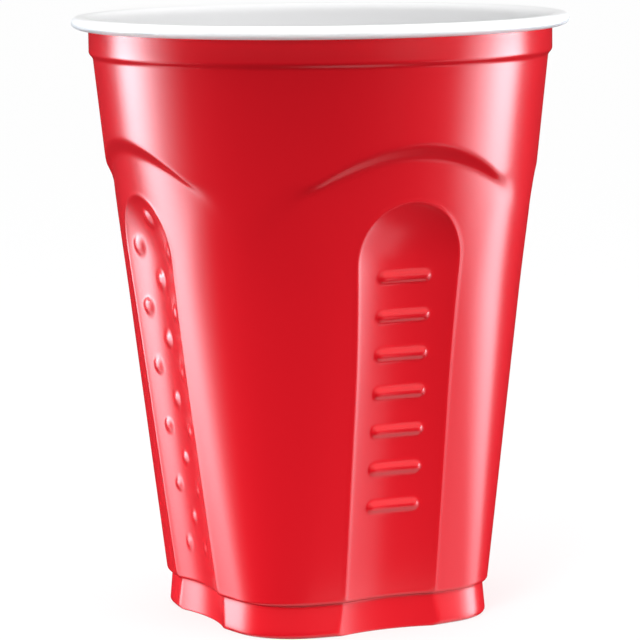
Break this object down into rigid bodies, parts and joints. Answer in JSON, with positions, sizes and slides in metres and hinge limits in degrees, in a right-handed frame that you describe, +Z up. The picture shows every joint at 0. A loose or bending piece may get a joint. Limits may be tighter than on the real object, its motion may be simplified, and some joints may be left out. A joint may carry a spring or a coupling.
{
  "type": "plastic cup",
  "caption": "Tapered party cup with a rolled round lip, arched square sides, finger recesses with raised grips and a stepped square foot.",
  "frame": {"origin": "middle of the standing plane, under the base", "axes": "+Z up the cup's axis towards the mouth; +X and -X out through the recesses with dots, +Y and -Y out through the recesses with bars"},
  "size_m": [0.099, 0.099, 0.12],
  "materials": {
    "red_plastic": "glossy red outside, white inside and on the lip"
  },
  "bodies": {
    "root": {"cup": "red_plastic"}
  },
  "joints": []
}
